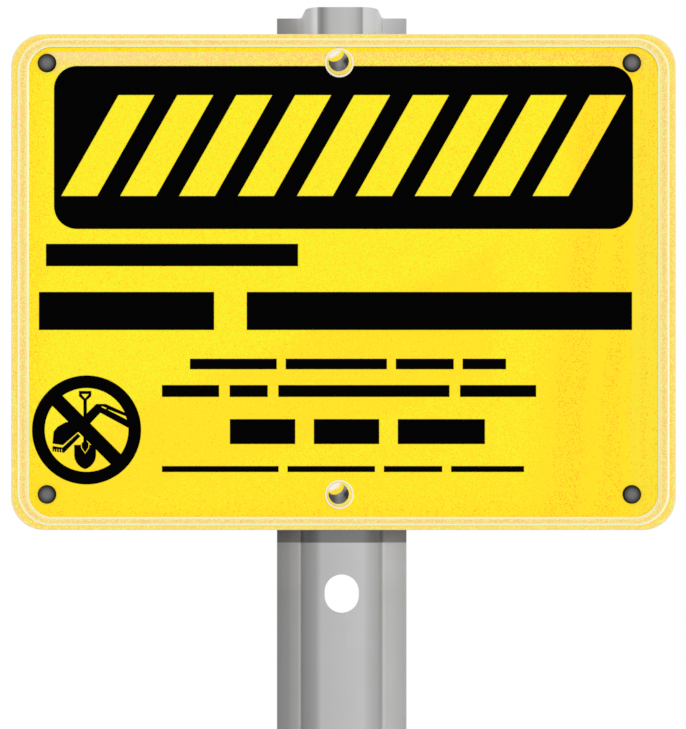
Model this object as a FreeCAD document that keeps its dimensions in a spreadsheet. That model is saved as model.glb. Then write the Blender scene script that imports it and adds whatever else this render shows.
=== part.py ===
import FreeCAD, Part
import math
import os
import re
import Sketcher
from FreeCAD import Placement, Rotation, Vector

# Utility marker post: a hat section steel post with a moulded plastic sign bolted to its web.
# Millimetres, +Z up. The origin is the centre of the post's foot, and the sign faces -Y.

# The driving sizes, each with what it measures.
SIZES = {
    # Post: a rolled channel, closed web to the front, flanges behind.
    "post_length": 1524.0,
    "post_width": 82.0,
    "post_depth": 37.0,
    "post_wall": 3.0,
    # Width of the web and of the legs' root, each measured over the sharp corners.
    "web_width": 43.0,
    "leg_spread": 51.2,
    # Outer radius where the web turns into a leg, and front radius where a leg turns into a flange.
    "web_bend": 10.0,
    "flange_bend": 2.5,
    "flange_tip_round": 1.2,
    # Oblong eye below the sign.
    "eye_width": 21.0,
    "eye_height": 23.9,
    "eye_below_sign": 39.4,
    "post_hole": 9.5,
    # Sign panel: a moulded sheet with a raised bead, hollow behind, inside its plain lip.
    "sign_below_top": 16.9,
    "panel_width": 406.4,
    "panel_height": 303.2,
    "panel_thickness": 2.4,
    "panel_corner": 20.0,
    "panel_edge": 0.6,
    "lip_side": 3.9,
    "lip_top": 2.9,
    "bead_side": 7.2,
    "bead_top": 5.3,
    "bead_height": 2.0,
    "bead_flank": 1.2,
    "bead_corner": 20.6,
    "bead_wall": 2.0,
    "groove_depth": 2.2,
    # Holes of the sign, from its edges: a column at each side for the plugs, one midway for the bolts.
    "sign_hole": 9.5,
    "hole_from_left": 22.0,
    "hole_from_right": 27.0,
    "hole_from_top": 17.8,
    "hole_from_bottom": 21.8,
    # Printed films on the sign's face. The header is measured from the panel's edges, its band of
    # stripes from the header's.
    "film_thickness": 0.15,
    "film_gap": 0.15,
    "header_from_side": 26.3,
    "header_from_top": 19.6,
    "header_from_bottom": 184.0,
    "header_corner": 14.0,
    "band_from_side": 4.4,
    "band_from_top": 17.75,
    "band_from_bottom": 20.15,
    "stripe_width": 22.0,
    "stripe_slant": 35.0,
    "stripe_count": 9,
    # Lines of bars: each line's ends from the panel's sides, its middle above the panel's lower edge,
    # the bars' height and the gap between two bars.
    "print_line_1_left": 21.4,
    "print_line_1_right": 231.0,
    "print_line_1_rise": 168.1,
    "print_line_1_height": 13.6,
    "print_line_2_left": 17.1,
    "print_line_2_right": 26.9,
    "print_line_2_rise": 133.9,
    "print_line_2_height": 23.2,
    "print_line_2_gap": 20.0,
    "print_line_3_left": 109.4,
    "print_line_3_right": 103.9,
    "print_line_3_rise": 101.5,
    "print_line_3_height": 6.4,
    "print_line_3_gap": 5.5,
    "print_line_4_left": 92.3,
    "print_line_4_right": 85.5,
    "print_line_4_rise": 85.0,
    "print_line_4_height": 7.2,
    "print_line_4_gap": 6.5,
    "print_line_5_left": 133.8,
    "print_line_5_right": 116.8,
    "print_line_5_rise": 60.2,
    "print_line_5_height": 15.2,
    "print_line_5_gap": 11.4,
    "print_line_6_left": 92.3,
    "print_line_6_right": 92.9,
    "print_line_6_rise": 37.3,
    "print_line_6_height": 3.6,
    "print_line_6_gap": 5.5,
    # Round no-digging symbol, its ring's edge measured from the panel's left and lower edges.
    "symbol_radius": 33.3,
    "symbol_from_left": 12.9,
    "symbol_from_bottom": 27.9,
    "ring_band": 7.7,
    "slash_width": 8.8,
    # Carriage bolt. It lies to the left in the post's larger hole, and its square neck fills the sign's
    # hole and stops short of the web.
    "bolt_size": 6.35,
    "bolt_length": 19.05,
    "bolt_point": 0.8,
    "bolt_side_play": 0.175,
    "head_size": 15.1,
    "head_height": 3.6,
    "head_rim": 0.6,
    "neck_play": 0.15,
    "neck_short": 0.2,
    # Washers, each play being the bore's clearance all round the bolt, and the nut.
    "face_washer_size": 17.5,
    "face_washer_thickness": 1.2,
    "flat_washer_size": 16.0,
    "flat_washer_thickness": 1.6,
    "flat_washer_play": 0.425,
    "lock_washer_size": 12.0,
    "lock_washer_thickness": 1.6,
    "lock_washer_play": 0.275,
    "lock_split": 1.0,
    "nut_flats": 11.1,
    "nut_height": 5.5,
    # How far inside its flats the nut's round corner chamfer starts.
    "nut_face_inset": 0.1,
    "thread_play": 0.1,
    # Push-in plug of the sign's unused holes.
    "plug_head": 11.5,
    "plug_head_height": 1.5,
    "plug_rim": 1.6,
    "plug_dish": 0.5,
    "plug_play": 0.15,
    "barb_reach": 0.4,
    "barb_taper": 0.8,
    "barb_gap": 0.2,
    "barb_length": 3.2,
    "barb_slot": 1.4,
}

# The bars of each line of print, as shares of the line's length.
BAR_SHARES = {
    "print_line_1": (1,),
    "print_line_2": (5, 11),
    "print_line_3": (6, 7, 4, 3),
    "print_line_4": (3, 2, 9, 4),
    "print_line_5": (3, 3, 4),
    "print_line_6": (8, 6, 4, 5),
}

doc = FreeCAD.newDocument("marker_post")
sheet = doc.addObject("Spreadsheet::Sheet", "Sizes")
for row, (alias, number) in enumerate(SIZES.items(), start=1):
    sheet.set("A%d" % row, alias)
    sheet.set("B%d" % row, str(number))
    sheet.setAlias("B%d" % row, alias)
doc.recompute()


def bound(text):
    """Writes each size named in an expression as its cell of the sheet."""
    return re.sub(r"\b[a-z]\w*", lambda word: ("Sizes." if word[0] in SIZES else "") + word[0], text)


def value(text):
    """The number that an expression in the sizes gives."""
    return float(sheet.evalExpression(bound(text)))


def bind(item, path, text):
    """Binds a property, or a part of one, to an expression in the sizes."""
    item.setExpression(path, bound(text))


def new_body(label):
    """An empty body in the object's frame, named for its piece."""
    body = doc.addObject("PartDesign::Body", label)
    body.Label = label
    body.AllowCompound = True
    return body


def face_front(body, x, z, y):
    """Stands a body up so that its own Z points to the front, with its zero at the given place."""
    body.Placement = Placement(Vector(0, 0, 0), Rotation(Vector(1, 0, 0), 90))
    bind(body, ".Placement.Base.x", x)
    bind(body, ".Placement.Base.y", y)
    bind(body, ".Placement.Base.z", z)


def new_sketch(body, name, plane="XY_Plane", height=None):
    """A sketch on one of the body's own planes, lifted off it by an expression if one is given."""
    sketch = body.newObject("Sketcher::SketchObject", body.Name + "_" + name)
    origin_plane = next(f for f in body.Origin.OriginFeatures if f.Role == plane)
    sketch.AttachmentSupport = [(origin_plane, "")]
    sketch.MapMode = "FlatFace"
    if height:
        bind(sketch, ".AttachmentOffset.Base.z", height)
    return sketch


def pin(sketch, edge, end, x, y):
    """Fixes a point of the sketch at two expressions, on an axis where one is plain zero."""
    for text, kind, axis in ((x, "DistanceX", -2), (y, "DistanceY", -1)):
        if text is None:
            continue
        if text == "0":
            sketch.addConstraint(Sketcher.Constraint("PointOnObject", edge, end, axis))
            continue
        index = sketch.addConstraint(Sketcher.Constraint(kind, -1, 1, edge, end, value(text)))
        bind(sketch, "Constraints[%d]" % index, text)


def outline(sketch, points, arcs=None):
    """Closed outline through points given as expressions. arcs names the sides that are round, each by
    the X of its centre."""
    arcs = arcs or {}
    places = [Vector(value(x), value(y), 0) for x, y in points]
    sides = []
    for number, start in enumerate(places):
        end = places[(number + 1) % len(places)]
        if number not in arcs:
            edge = sketch.addGeometry(Part.LineSegment(start, end), False)
            sides.append((edge, 1, 2))
            continue
        middle_x = value(arcs[number])
        square_gap = (start.x - middle_x) ** 2 - (end.x - middle_x) ** 2
        middle_y = (square_gap + start.y ** 2 - end.y ** 2) / (2 * (start.y - end.y))
        middle = Vector(middle_x, middle_y, 0)
        turn = (start - middle).cross(end - middle).z
        first, last = (start, end) if turn > 0 else (end, start)
        angles = [math.atan2(p.y - middle.y, p.x - middle.x) for p in (first, last)]
        circle = Part.Circle(middle, Vector(0, 0, 1), (first - middle).Length)
        edge = sketch.addGeometry(Part.ArcOfCircle(circle, angles[0], angles[1]), False)
        sides.append((edge, 1, 2) if turn > 0 else (edge, 2, 1))
        pin(sketch, edge, 3, arcs[number], None)
    for number, (edge, start, end) in enumerate(sides):
        next_edge, next_start, _ = sides[(number + 1) % len(sides)]
        sketch.addConstraint(Sketcher.Constraint("Coincident", edge, end, next_edge, next_start))
        pin(sketch, edge, start, *points[number])


def circle(sketch, x, y, radius):
    """Circle with its centre and radius given as expressions."""
    shape = Part.Circle(Vector(value(x), value(y), 0), Vector(0, 0, 1), value(radius))
    edge = sketch.addGeometry(shape, False)
    pin(sketch, edge, 3, x, y)
    index = sketch.addConstraint(Sketcher.Constraint("Radius", edge, value(radius)))
    bind(sketch, "Constraints[%d]" % index, radius)


def rounded_rectangle(sketch, left, bottom, width, height, radius):
    """Rectangle with four equal round corners, each size an expression."""
    west, south, r = value(left), value(bottom), value(radius)
    east, north = west + value(width), south + value(height)
    corners = [(east - r, south + r), (east - r, north - r), (west + r, north - r), (west + r, south + r)]
    lines = [
        ((west + r, south), (east - r, south)),
        ((east, south + r), (east, north - r)),
        ((east - r, north), (west + r, north)),
        ((west, north - r), (west, south + r)),
    ]
    edges = []
    quarter = math.pi / 2
    for number, (start, end) in enumerate(lines):
        line = Part.LineSegment(Vector(start[0], start[1], 0), Vector(end[0], end[1], 0))
        edges.append(sketch.addGeometry(line, False))
        round_off = Part.Circle(Vector(corners[number][0], corners[number][1], 0), Vector(0, 0, 1), r)
        arc = Part.ArcOfCircle(round_off, (number - 1) * quarter, number * quarter)
        edges.append(sketch.addGeometry(arc, False))
    for number, edge in enumerate(edges):
        next_edge = edges[(number + 1) % len(edges)]
        sketch.addConstraint(Sketcher.Constraint("Tangent", edge, 2, next_edge, 1))
    sketch.addConstraint(Sketcher.Constraint("Horizontal", edges[0]))
    sketch.addConstraint(Sketcher.Constraint("Vertical", edges[2]))
    for other in edges[3::2]:
        sketch.addConstraint(Sketcher.Constraint("Equal", edges[1], other))
    index = sketch.addConstraint(Sketcher.Constraint("Radius", edges[1], r))
    bind(sketch, "Constraints[%d]" % index, radius)
    pin(sketch, edges[6], 1, left, None)
    pin(sketch, edges[0], 1, None, bottom)
    pin(sketch, edges[2], 1, "%s + %s" % (left, width), None)
    pin(sketch, edges[4], 1, None, "%s + %s" % (bottom, height))


def pad(body, sketch, length):
    """Pads a sketch along its normal."""
    feature = body.newObject("PartDesign::Pad", sketch.Name + "_pad")
    feature.Profile = sketch
    bind(feature, "Length", length)
    return feature


def pocket(body, sketch, depth):
    """Cuts a blind recess up from its sketch."""
    feature = body.newObject("PartDesign::Pocket", sketch.Name + "_recess")
    feature.Profile = sketch
    feature.Reversed = True
    bind(feature, "Length", depth)
    return feature


def cut_through(body, sketch, thickness):
    """Cuts right through a wall of the given thickness that stands on either side of its sketch."""
    feature = body.newObject("PartDesign::Pocket", sketch.Name + "_cut")
    feature.Profile = sketch
    feature.SideType = "Symmetric"
    bind(feature, "Length", "(%s) * 3" % thickness)
    return feature


def ease_edges(body, name, kind, size, chosen):
    """Fillets or chamfers the edges of the body's last feature that chosen() picks."""
    doc.recompute()
    base = body.Tip
    picked = ["Edge%d" % n for n, edge in enumerate(base.Shape.Edges, start=1) if chosen(edge)]
    feature = body.newObject("PartDesign::" + kind, body.Name + "_" + name)
    feature.Base = (base, picked)
    bind(feature, {"Fillet": "Radius", "Chamfer": "Size"}[kind], size)


def turned(body, sketch):
    """Revolves a sketch on the body's XZ plane about the body's Z axis."""
    feature = body.newObject("PartDesign::Revolution", sketch.Name + "_turned")
    feature.Profile = sketch
    feature.ReferenceAxis = (sketch, ["V_Axis"])
    feature.Angle = 360
    return feature


def flat_at(height):
    """Picks the edges that lie at one height."""
    return lambda edge: abs(edge.BoundBox.ZMin - height) < 1e-4 and abs(edge.BoundBox.ZMax - height) < 1e-4


def upright_at(x, y):
    """Picks the upright edges at one place, on the right or mirrored on the left."""
    def chosen(edge):
        box = edge.BoundBox
        return box.ZLength > 1 and abs(abs(box.Center.x) - x) < 1e-3 and abs(box.Center.y - y) < 1e-3
    return chosen


# Places that several pieces share. Those of the rows and columns of holes are in the sign's own frame.
BOLT_LEFT = "((post_hole - bolt_size) / 2 - bolt_side_play)"
BOLT_X = "(-%s)" % BOLT_LEFT
BOLT_COLUMN = "((hole_from_left - hole_from_right) / 2)"
PANEL_X = "(-%s - %s)" % (BOLT_COLUMN, BOLT_LEFT)
PANEL_Z = "(post_length - sign_below_top - panel_height / 2)"
ROWS = {"upper": "(panel_height / 2 - hole_from_top)", "lower": "(hole_from_bottom - panel_height / 2)"}
COLUMNS = {"left": "(hole_from_left - panel_width / 2)", "right": "(panel_width / 2 - hole_from_right)"}
FRONT = "(-post_depth / 2)"
BACK = "(post_depth / 2)"
SIGN_FACE = FRONT + " - panel_thickness"


# Post. The section's front line runs flange, leg, web, leg, flange, and its back line is one wall behind.
post = new_body("post")
SLOPE = "((leg_spread - web_width) / 2 / (post_depth - post_wall))"
ACROSS = "(post_wall * sqrt(1 + %s ^ 2))" % SLOPE
WEB_BACK_HALF = "(web_width / 2 + post_wall * %s - %s)" % (SLOPE, ACROSS)
LEG_BACK_HALF = "(web_width / 2 + post_depth * %s - %s)" % (SLOPE, ACROSS)
right_side = [
    ("web_width / 2", FRONT),
    ("leg_spread / 2", BACK + " - post_wall"),
    ("post_width / 2", BACK + " - post_wall"),
    ("post_width / 2", BACK),
    (LEG_BACK_HALF, BACK),
    (WEB_BACK_HALF, FRONT + " + post_wall"),
]
section = new_sketch(post, "section")
outline(section, right_side + [("-" + x, y) for x, y in reversed(right_side)])
pad(post, section, "post_length")
bends = (
    ("web_front", "web_bend", right_side[0]),
    ("web_back", "web_bend - post_wall", right_side[5]),
    ("flange_front", "flange_bend", right_side[1]),
    ("flange_back", "flange_bend + post_wall", right_side[4]),
)
for name, radius, (x, y) in bends:
    ease_edges(post, name, "Fillet", radius, upright_at(value(x), value(y)))
tip_x = value("post_width / 2")
ease_edges(post, "flange_tips", "Fillet", "flange_tip_round",
           lambda edge: edge.BoundBox.ZLength > 1 and abs(abs(edge.BoundBox.Center.x) - tip_x) < 1e-3
           and edge.BoundBox.YLength < 1e-3)
drilling = new_sketch(post, "holes", "XZ_Plane")
EYE_Z = "(%s - panel_height / 2 - eye_below_sign)" % PANEL_Z
EYE_STRAIGHT_HALF = "(eye_height - eye_width) / 2"
outline(drilling, [
    ("eye_width / 2", "%s - %s" % (EYE_Z, EYE_STRAIGHT_HALF)),
    ("0", EYE_Z + " - eye_height / 2"),
    ("-eye_width / 2", "%s - %s" % (EYE_Z, EYE_STRAIGHT_HALF)),
    ("-eye_width / 2", "%s + %s" % (EYE_Z, EYE_STRAIGHT_HALF)),
    ("0", EYE_Z + " + eye_height / 2"),
    ("eye_width / 2", "%s + %s" % (EYE_Z, EYE_STRAIGHT_HALF)),
], arcs={0: "0", 1: "0", 3: "0", 4: "0"})
for row in ROWS.values():
    circle(drilling, "0", "%s + %s" % (PANEL_Z, row), "post_hole / 2")
cut_through(post, drilling, "post_depth")


# Sign panel. The bead is a ring with sloped flanks on the front, and a narrower groove runs behind it.
sign = new_body("sign_panel")
face_front(sign, PANEL_X, PANEL_Z, FRONT)
blank = new_sketch(sign, "blank")
rounded_rectangle(blank, "-panel_width / 2", "-panel_height / 2",
                  "panel_width", "panel_height", "panel_corner")
pad(sign, blank, "panel_thickness")
ease_edges(sign, "front_edge", "Chamfer", "panel_edge", flat_at(value("panel_thickness")))


def ring_line(sketch, inset_x, inset_y, corner):
    """A line round the sign, set in from the bead's outer foot by one distance across and one up."""
    rounded_rectangle(sketch,
                      "-panel_width / 2 + lip_side + " + inset_x,
                      "-panel_height / 2 + lip_top + " + inset_y,
                      "panel_width - 2 * (lip_side + %s)" % inset_x,
                      "panel_height - 2 * (lip_top + %s)" % inset_y,
                      corner)


BEAD_INNER_CORNER = "bead_corner - (bead_side + bead_top) / 2"
bead = new_sketch(sign, "bead", height="panel_thickness")
ring_line(bead, "0", "0", "bead_corner")
ring_line(bead, "bead_side", "bead_top", BEAD_INNER_CORNER)
pad(sign, bead, "bead_height")
ease_edges(sign, "bead_flanks", "Chamfer", "bead_flank", flat_at(value("panel_thickness + bead_height")))
groove = new_sketch(sign, "groove")
ring_line(groove, "bead_wall", "bead_wall", "bead_corner - bead_wall")
ring_line(groove, "bead_side - bead_wall", "bead_top - bead_wall", BEAD_INNER_CORNER + " + bead_wall")
pocket(sign, groove, "groove_depth")
punched = new_sketch(sign, "holes")
for row in ROWS.values():
    for column in [*COLUMNS.values(), BOLT_COLUMN]:
        circle(punched, column, row, "sign_hole / 2")
cut_through(sign, punched, "panel_thickness")


# Printed films. Each is a thin layer on the sign's face, in the sign's own frame.
def film_body(label, x=PANEL_X, z=PANEL_Z):
    """A body whose zero lies on the sign's face, at the sign's centre if no other place is given."""
    body = new_body(label)
    face_front(body, x, z, SIGN_FACE)
    return body


def rectangle(sketch, left, bottom, right, top):
    """Rectangle between four lines given as expressions."""
    outline(sketch, [(left, bottom), (right, bottom), (right, top), (left, top)])


# Header: a black field with a row of slanted windows and a notch round the upper bolt's washer.
HEADER_LEFT = "header_from_side - panel_width / 2"
HEADER_BOTTOM = "header_from_bottom - panel_height / 2"
HEADER_WIDTH = "panel_width - 2 * header_from_side"
HEADER_HEIGHT = "panel_height - header_from_top - header_from_bottom"
header = film_body("header_field")
field = new_sketch(header, "field")
rounded_rectangle(field, HEADER_LEFT, HEADER_BOTTOM, HEADER_WIDTH, HEADER_HEIGHT, "header_corner")
pad(header, field, "film_thickness")
notch = new_sketch(header, "notch")
circle(notch, BOLT_COLUMN, ROWS["upper"], "face_washer_size / 2 + film_gap")
cut_through(header, notch, "film_thickness")
BAND_LEFT = HEADER_LEFT + " + band_from_side"
BAND_BOTTOM = HEADER_BOTTOM + " + band_from_bottom"
BAND_TOP = "%s + %s - band_from_top" % (HEADER_BOTTOM, HEADER_HEIGHT)
stripe = new_sketch(header, "stripe")
outline(stripe, [
    (BAND_LEFT, BAND_BOTTOM),
    (BAND_LEFT + " + stripe_width", BAND_BOTTOM),
    (BAND_LEFT + " + stripe_width + stripe_slant", BAND_TOP),
    (BAND_LEFT + " + stripe_slant", BAND_TOP),
])
window = cut_through(header, stripe, "film_thickness")
stripes = header.newObject("PartDesign::LinearPattern", "header_stripes")
stripes.Originals = [window]
stripes.Direction = (stripe, ["H_Axis"])
bind(stripes, "Length", HEADER_WIDTH + " - 2 * band_from_side - stripe_width - stripe_slant")
bind(stripes, "Occurrences", "stripe_count")
header.Tip = stripes

# Bars in place of the lines of print, one group of bars to a line.
for line, bar_shares in BAR_SHARES.items():
    bars_body = film_body(line)
    bars = new_sketch(bars_body, "bars")
    gap = line + "_gap" if len(bar_shares) > 1 else "0"
    unit = "(panel_width - %s_left - %s_right - %d * %s) / %d" % (
        line, line, len(bar_shares) - 1, gap, sum(bar_shares))
    middle = "%s_rise - panel_height / 2" % line
    for number, bar_share in enumerate(bar_shares):
        start = "%s_left - panel_width / 2 + %d * %s + %d * %s" % (
            line, number, gap, sum(bar_shares[:number]), unit)
        rectangle(bars, start, "%s - %s_height / 2" % (middle, line),
                  "%s + %d * %s" % (start, bar_share, unit), "%s + %s_height / 2" % (middle, line))
    pad(bars_body, bars, "film_thickness")


# No-digging symbol. Places inside the ring are shares of its radius, as the symbol scales as one.
symbol = film_body("no_dig_symbol",
                   PANEL_X + " - panel_width / 2 + symbol_from_left + symbol_radius",
                   PANEL_Z + " - panel_height / 2 + symbol_from_bottom + symbol_radius")


def share(number):
    """A length as a share of the symbol's radius."""
    return "symbol_radius * (%g)" % number


def shares(points):
    """Points as shares of the symbol's radius."""
    return [(share(x), share(y)) for x, y in points]


def film(name, *outlines, arcs=None):
    """Pads one figure of the symbol, with any windows after its first outline."""
    figure = new_sketch(symbol, name)
    outline(figure, shares(outlines[0]), arcs)
    for hole in outlines[1:]:
        outline(figure, shares(hole))
    return pad(symbol, figure, "film_thickness")


ring_sketch = new_sketch(symbol, "ring")
circle(ring_sketch, "0", "0", "symbol_radius")
circle(ring_sketch, "0", "0", "symbol_radius - ring_band")
pad(symbol, ring_sketch, "film_thickness")
slash = new_sketch(symbol, "slash")
FAR = "(symbol_radius - ring_band / 2) / sqrt(2)"
HALF = "slash_width / 2 / sqrt(2)"
outline(slash, [
    ("-%s - %s" % (FAR, HALF), "%s - %s" % (FAR, HALF)),
    ("%s - %s" % (FAR, HALF), "-%s - %s" % (FAR, HALF)),
    ("%s + %s" % (FAR, HALF), "-%s + %s" % (FAR, HALF)),
    ("-%s + %s" % (FAR, HALF), "%s + %s" % (FAR, HALF)),
])
pad(symbol, slash, "film_thickness")

# Spade: a grip with a window, a shaft that widens into a socket, and a blade with a rounded point. A
# thin line on the blade goes round the socket.
SPADE_X = -0.027
GRIP_HALF = 0.113
SHAFT_HALF = 0.03
BLADE_HALF = 0.199
POINT_SPREAD = 0.084
GRIP_WINDOW_HALF = 0.07
SOCKET_HALF = 0.078
film("grip", [
    (SPADE_X - SOCKET_HALF, -0.3), (SPADE_X + SOCKET_HALF, -0.3), (SPADE_X + SOCKET_HALF, -0.266),
    (SPADE_X + SHAFT_HALF, -0.21), (SPADE_X + SHAFT_HALF, 0.545),
    (SPADE_X + GRIP_HALF, 0.62), (SPADE_X + GRIP_HALF, 0.715), (SPADE_X - GRIP_HALF, 0.715),
    (SPADE_X - GRIP_HALF, 0.62), (SPADE_X - SHAFT_HALF, 0.545),
    (SPADE_X - SHAFT_HALF, -0.21), (SPADE_X - SOCKET_HALF, -0.266),
], [(SPADE_X - GRIP_WINDOW_HALF, 0.66), (SPADE_X, 0.575), (SPADE_X + GRIP_WINDOW_HALF, 0.66)])
film("blade", [
    (SPADE_X - BLADE_HALF, -0.275), (SPADE_X - BLADE_HALF, -0.45), (SPADE_X, -0.72),
    (SPADE_X + BLADE_HALF, -0.45), (SPADE_X + BLADE_HALF, -0.275),
], arcs={1: share(SPADE_X + POINT_SPREAD), 2: share(SPADE_X - POINT_SPREAD)})
socket_line = new_sketch(symbol, "socket_line")
line_outside = [(SOCKET_HALF, -0.26), (0.074, -0.33), (0, -0.436), (-0.074, -0.33), (-SOCKET_HALF, -0.26)]
line_inside = [(-0.062, -0.26), (-0.059, -0.325), (0, -0.412), (0.059, -0.325), (0.062, -0.26)]
outline(socket_line, shares([(SPADE_X + x, y) for x, y in line_outside + line_inside]))
cut_through(symbol, socket_line, "film_thickness")

# Digger: a cranked arm from the ring to the bar, a bucket, and the bucket's toothed lip.
film("arm", [
    (-0.07, 0.232), (0.177, 0.476), (0.351, 0.476), (0.829, 0.26), (0.829, 0.004),
    (0.253, 0.316), (0.028, 0.078),
], [(0.268, 0.42), (0.285, 0.437), (0.37, 0.403), (0.355, 0.38)],
    [(0.392, 0.379), (0.72, 0.252), (0.742, 0.186), (0.4, 0.363)])
film("bucket", [
    (-0.624, -0.251), (-0.604, -0.03), (-0.53, 0.06), (-0.39, 0.139), (-0.27, 0.16), (-0.1, 0.0),
    (-0.17, -0.05), (-0.435, -0.279),
])
TOOTH_PITCH = 0.045
TOOTH_NICK = 0.014
lip_edge = [
    (-0.624, -0.392), (-0.624, -0.296), (-0.441, -0.324), (-0.163, -0.066), (-0.112, -0.113), (-0.416, -0.42),
]
for number in range(3, -1, -1):
    nick = -0.6 + number * TOOTH_PITCH
    rise = -0.397 - 0.005 * number
    lip_edge += [(nick + TOOTH_NICK, rise), (nick + TOOTH_NICK, -0.35), (nick, -0.35), (nick, rise)]
film("bucket_lip", lip_edge)


# Fasteners. Each piece's own Z points to the front, with its zero on the seat that it bears on.
HEAD_SEAT = SIGN_FACE + " - face_washer_thickness"
FLAT_WASHER_SEAT = FRONT + " + post_wall + flat_washer_thickness"
LOCK_WASHER_SEAT = FLAT_WASHER_SEAT + " + lock_washer_thickness"
NUT_SEAT = LOCK_WASHER_SEAT + " + nut_height"


def washer(label, z, seat, size, bore, thickness):
    """A round washer, from its seat towards the front."""
    body = new_body(label)
    face_front(body, BOLT_X, z, seat)
    face = new_sketch(body, "face")
    circle(face, "0", "0", size + " / 2")
    circle(face, "0", "0", bore)
    pad(body, face, thickness)
    return body


def carriage_bolt(label, z):
    """Domed head, square neck and round shank, with its zero under the head."""
    bolt = new_body(label)
    face_front(bolt, BOLT_X, z, HEAD_SEAT)
    profile = new_sketch(bolt, "profile", "XZ_Plane")
    outline(profile, [
        ("0", "-bolt_length"),
        ("bolt_size / 2 - bolt_point", "-bolt_length"),
        ("bolt_size / 2", "bolt_point - bolt_length"),
        ("bolt_size / 2", "0"),
        ("head_size / 2", "0"),
        ("head_size / 2", "head_rim"),
        ("0", "head_height"),
    ], arcs={5: "0"})
    turned(bolt, profile)
    neck = new_sketch(bolt, "neck")
    half = "(sign_hole / 2 - neck_play) / sqrt(2)"
    rectangle(neck, "-" + half, "-" + half, half, half)
    shaft = pad(bolt, neck, "face_washer_thickness + panel_thickness - neck_short")
    shaft.Reversed = True
    return bolt


def hex_nut(label, z):
    """Hexagon nut with its corners turned off at its outer end."""
    nut = new_body(label)
    face_front(nut, BOLT_X, z, NUT_SEAT)
    block = nut.newObject("PartDesign::AdditivePrism", nut.Name + "_block")
    block.Polygon = 6
    bind(block, "Circumradius", "nut_flats / sqrt(3)")
    bind(block, "Height", "nut_height")
    corner = new_sketch(nut, "corners", "XZ_Plane")
    outer = "nut_flats"
    inner = "(nut_flats / 2 - nut_face_inset)"
    outline(corner, [(inner, "0"), (outer, "0"), (outer, "(%s - %s) * tan(30)" % (outer, inner))])
    chamfer = nut.newObject("PartDesign::Groove", nut.Name + "_chamfer")
    chamfer.Profile = corner
    chamfer.ReferenceAxis = (corner, ["V_Axis"])
    chamfer.Angle = 360
    bore = new_sketch(nut, "bore")
    circle(bore, "0", "0", "bolt_size / 2 + thread_play")
    cut_through(nut, bore, "nut_height")


def share_node(label, bodies):
    """One node for identical pieces, each still a solid of its own."""
    group = doc.addObject("Part::Compound", label)
    group.Label = label
    group.Links = bodies


bolts = []
for place, row in ROWS.items():
    height = "%s + %s" % (PANEL_Z, row)
    bolts.append(carriage_bolt("bolt_" + place, height))
    washer("face_washer_" + place, height, SIGN_FACE,
           "face_washer_size", "sign_hole / 2", "face_washer_thickness")
    washer("flat_washer_" + place, height, FLAT_WASHER_SEAT,
           "flat_washer_size", "bolt_size / 2 + flat_washer_play", "flat_washer_thickness")
    spring = washer("lock_washer_" + place, height, LOCK_WASHER_SEAT,
                    "lock_washer_size", "bolt_size / 2 + lock_washer_play", "lock_washer_thickness")
    split = new_sketch(spring, "split", "XZ_Plane")
    outline(split, [
        ("-lock_split", "-lock_washer_thickness"),
        ("0", "-lock_washer_thickness"),
        ("lock_split + lock_washer_thickness * 2", "lock_washer_thickness * 2"),
        ("lock_washer_thickness * 2", "lock_washer_thickness * 2"),
    ])
    pocket(spring, split, "lock_washer_size")
    hex_nut("nut_" + place, height)
share_node("bolts", bolts)


# Push-in plugs: a dished head on the sign's face and a slotted barb behind it.
def hole_plug(label, x, z):
    """Plug with a split, barbed stem, with its zero on the sign's face."""
    plug = new_body(label)
    face_front(plug, x, z, SIGN_FACE)
    profile = new_sketch(plug, "profile", "XZ_Plane")
    stem = "(sign_hole / 2 - plug_play)"
    end = "(-panel_thickness - barb_gap - barb_length)"
    outline(profile, [
        ("0", end),
        (stem + " - barb_taper", end),
        ("sign_hole / 2 + barb_reach", "-panel_thickness - barb_gap"),
        (stem, "-panel_thickness - barb_gap"),
        (stem, "0"),
        ("plug_head / 2", "0"),
        ("plug_head / 2 - plug_rim / 2", "plug_head_height"),
        ("plug_head / 2 - plug_rim", "plug_head_height - plug_dish"),
        ("0", "plug_head_height - plug_dish"),
    ])
    turned(plug, profile)
    slot = new_sketch(plug, "slot")
    rectangle(slot, "-sign_hole", "-barb_slot / 2", "sign_hole", "barb_slot / 2")
    split_stem = plug.newObject("PartDesign::Pocket", plug.Name + "_slot_cut")
    split_stem.Profile = slot
    bind(split_stem, "Length", "(panel_thickness + barb_gap + barb_length) * 2")
    return plug


plugs = []
for tier, row in ROWS.items():
    for side, column in COLUMNS.items():
        name = "plug_%s_%s" % (tier, side)
        plugs.append(hole_plug(name, "%s + %s" % (PANEL_X, column), "%s + %s" % (PANEL_Z, row)))
share_node("plugs", plugs)

doc.recompute()
failed = [o.Label for o in doc.Objects if "Invalid" in o.State or "Error" in o.State]
if failed:
    raise RuntimeError("failed objects: %s" % failed)
nodes = [o for o in doc.Objects if o.TypeId == "Part::Compound"]
nodes += [o for o in doc.Objects if o.TypeId == "PartDesign::Body" and o not in bolts + plugs]
for node in nodes:
    if node.Shape.isNull() or not node.Shape.isValid() or not node.Shape.Solids:
        raise RuntimeError("bad shape: " + node.Label)
os.makedirs("parts", exist_ok=True)
for node in nodes:
    node.Shape.exportStep("parts/%s.step" % node.Label)
    box = node.Shape.BoundBox
    print("%-20s %2d solid %9.1f mm3  x %.1f..%.1f  y %.1f..%.1f  z %.1f..%.1f" % (
        node.Label, len(node.Shape.Solids), node.Shape.Volume,
        box.XMin, box.XMax, box.YMin, box.YMax, box.ZMin, box.ZMax))
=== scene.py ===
import math

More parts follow.
